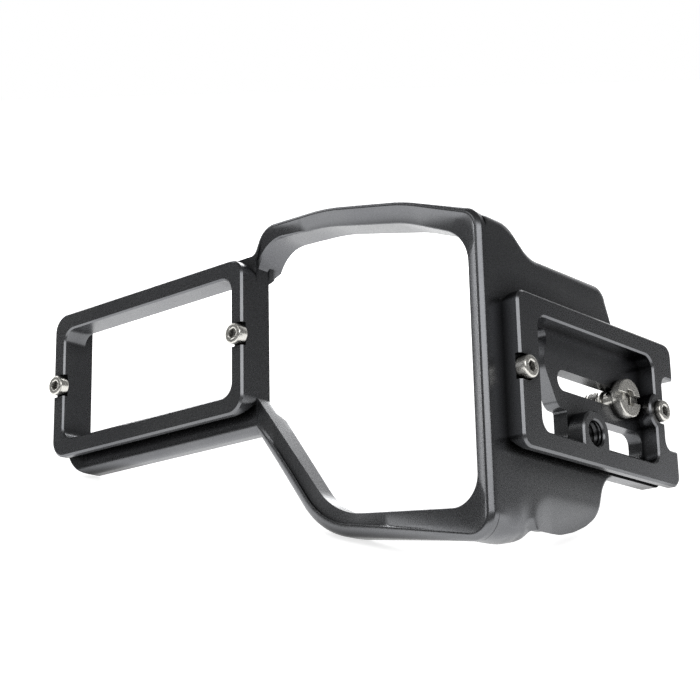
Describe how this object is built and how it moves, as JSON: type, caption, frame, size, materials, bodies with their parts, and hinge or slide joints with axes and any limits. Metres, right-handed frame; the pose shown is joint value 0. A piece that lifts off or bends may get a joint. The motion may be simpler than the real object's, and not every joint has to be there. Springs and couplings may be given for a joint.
{
  "type": "camera l-bracket",
  "caption": "Machined camera L-bracket with a dovetail on each leg, an open battery window between them, stop screws and a captive camera screw.",
  "frame": {"origin": "middle of the base dovetail's face, where a clamp grips it", "axes": "+X from the side arm to the free end of the base, +Y from the base dovetail's face up along the side arm, +Z across both dovetails"},
  "size_m": [0.081, 0.156, 0.0935],
  "materials": {
    "anodised": "satin black anodised, fine bead-blasted grain",
    "stainless": "turned stainless steel"
  },
  "bodies": {
    "bracket": {"side_frame": "anodised", "upper_bridge": "anodised", "lower_bridge": "anodised", "base_wing": "anodised", "base_dovetail": "anodised", "side_stop_screw_near": "stainless", "side_stop_screw_far": "stainless", "base_stop_screw_inner": "stainless", "base_stop_screw_outer": "stainless"},
    "washer": {"camera_screw_washer": "stainless"},
    "screw": {"camera_screw": "stainless"}
  },
  "joints": [
    {"name": "camera_screw_slide", "type": "slide", "parent": "bracket", "child": "washer", "axis": [1, 0, 0], "range_m": [-0.02575, 0.001]},
    {"name": "camera_screw_turn", "type": "hinge", "parent": "washer", "child": "screw", "pos_m": [0.01575, 0.0043, 0.0019], "axis": [0, 1, 0], "continuous": true}
  ]
}
